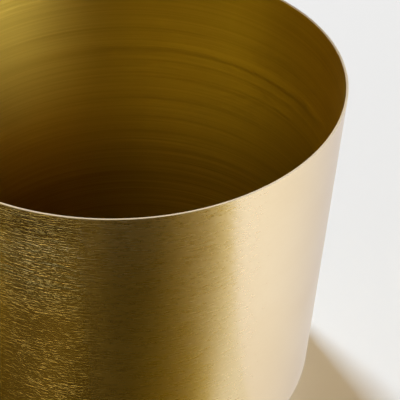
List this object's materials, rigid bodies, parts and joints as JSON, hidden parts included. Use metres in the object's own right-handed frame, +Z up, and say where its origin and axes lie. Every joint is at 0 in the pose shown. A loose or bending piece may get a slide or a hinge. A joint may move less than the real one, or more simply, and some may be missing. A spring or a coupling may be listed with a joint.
{
  "type": "metal vase",
  "caption": "Round open metal vase: tapered brushed brass wall with a plain cut rim, turned-in foot ring, soldered base plate and felt pads.",
  "frame": {"origin": "on the vase's axis, on the surface that it stands on", "axes": "+Z up along the vase's axis; +X and +Y are two level directions, midway between neighbouring foot pads"},
  "size_m": [0.15, 0.15, 0.13],
  "materials": {
    "brushed_brass": "brushed round the wall, satin",
    "plain_brass": "mill finish, satin",
    "solder": "dull soft solder",
    "felt": "dark pressed wool felt"
  },
  "bodies": {
    "root": {"body_shell": "brushed_brass", "base_plate": "plain_brass", "base_solder": "solder", "foot_pad_1": "felt", "foot_pad_2": "felt", "foot_pad_3": "felt", "foot_pad_4": "felt"}
  },
  "joints": []
}
